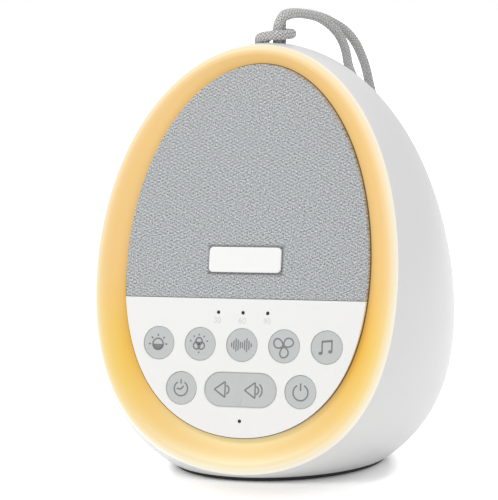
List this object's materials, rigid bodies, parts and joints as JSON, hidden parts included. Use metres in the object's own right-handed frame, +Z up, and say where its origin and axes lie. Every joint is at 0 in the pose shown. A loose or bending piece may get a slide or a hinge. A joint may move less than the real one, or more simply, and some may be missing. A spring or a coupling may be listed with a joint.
{
  "type": "white noise sound machine",
  "caption": "Egg-shaped tabletop sound machine with a glowing ring round a leaning cloth-and-key front, a loudspeaker inside and a cord carrying strap.",
  "frame": {"origin": "centre of the round foot's underside, on the egg's upright axis", "axes": "+Z up, -Y out of the front plate, +X to the right of someone who faces the front"},
  "size_m": [0.1266, 0.1057, 0.1589],
  "materials": {
    "shell": "satin moulded white",
    "base": "moulded light grey",
    "foot": "soft charcoal rubber",
    "diffuser": "translucent frosted, lit warm amber",
    "frame": "moulded grey",
    "panel": "satin white",
    "cloth": "grey melange open weave",
    "badge": "bare white plate",
    "key": "matt grey with printed symbols",
    "clear": "clear light guide",
    "board": "green solder mask",
    "switch": "black switch body",
    "lamp": "lamp package",
    "strip": "flexible light strip",
    "battery": "shrink sleeve",
    "steel": "plated steel",
    "basket": "black coated",
    "magnet": "dark ferrite",
    "gasket": "black foam",
    "surround": "black rubber",
    "spider": "resin treated cloth",
    "cone": "black paper cone",
    "coil": "copper wire on a former",
    "strap": "warm grey braided cord",
    "screw": "zinc plated"
  },
  "bodies": {
    "housing": {"base_plate": "base", "base_screws": "screw", "battery_pack": "battery", "board_screws": "screw", "charge_board": "board", "charge_screws": "screw", "charge_socket": "steel", "control_board": "board", "control_panel": "panel", "driver_screws": "screw", "foot_pad": "foot", "frame_screws": "screw", "front_frame": "frame", "key_switches": "switch", "light_pipes": "clear", "light_ring": "diffuser", "light_strip": "strip", "name_plate": "badge", "plate_screws": "screw", "pole_yoke": "steel", "rear_shell": "shell", "ring_lights": "lamp", "speaker_basket": "basket", "speaker_cloth": "cloth", "speaker_gasket": "gasket", "speaker_grille": "frame", "speaker_magnet": "magnet", "speaker_spider": "spider", "speaker_surround": "surround", "status_lamps": "lamp", "strap_cord": "strap", "strap_knot": "strap", "strap_pin": "steel", "top_plate": "steel"},
    "light_key": {"light_key": "key"},
    "colour_key": {"colour_key": "key"},
    "noise_key": {"noise_key": "key"},
    "fan_key": {"fan_key": "key"},
    "music_key": {"music_key": "key"},
    "timer_key": {"timer_key": "key"},
    "power_key": {"power_key": "key"},
    "volume_rocker": {"volume_rocker": "key"},
    "cone": {"speaker_cone": "cone", "dust_cap": "cone", "voice_coil": "coil"}
  },
  "joints": [
    {"name": "light_key_press", "type": "slide", "parent": "housing", "child": "light_key", "axis": [0, 0.9817, -0.1906], "range_m": [0, 0.0005], "stiffness_N_per_m": 400},
    {"name": "colour_key_press", "type": "slide", "parent": "housing", "child": "colour_key", "axis": [0, 0.9817, -0.1906], "range_m": [0, 0.0005], "stiffness_N_per_m": 400},
    {"name": "noise_key_press", "type": "slide", "parent": "housing", "child": "noise_key", "axis": [0, 0.9817, -0.1906], "range_m": [0, 0.0005], "stiffness_N_per_m": 400},
    {"name": "fan_key_press", "type": "slide", "parent": "housing", "child": "fan_key", "axis": [0, 0.9817, -0.1906], "range_m": [0, 0.0005], "stiffness_N_per_m": 400},
    {"name": "music_key_press", "type": "slide", "parent": "housing", "child": "music_key", "axis": [0, 0.9817, -0.1906], "range_m": [0, 0.0005], "stiffness_N_per_m": 400},
    {"name": "timer_key_press", "type": "slide", "parent": "housing", "child": "timer_key", "axis": [0, 0.9817, -0.1906], "range_m": [0, 0.0005], "stiffness_N_per_m": 400},
    {"name": "power_key_press", "type": "slide", "parent": "housing", "child": "power_key", "axis": [0, 0.9817, -0.1906], "range_m": [0, 0.0005], "stiffness_N_per_m": 400},
    {"name": "volume_rocker_tip", "type": "hinge", "parent": "housing", "child": "volume_rocker", "pos_m": [0, -0.03211, 0.03059], "axis": [0, 0.1906, 0.9817], "range_deg": [-2.2, 2.2], "stiffness_Nm_per_rad": 0.5},
    {"name": "cone_excursion", "type": "slide", "parent": "housing", "child": "cone", "axis": [0, -0.9632, 0.2687], "range_m": [-0.0004, 0.0004], "stiffness_N_per_m": 900}
  ]
}
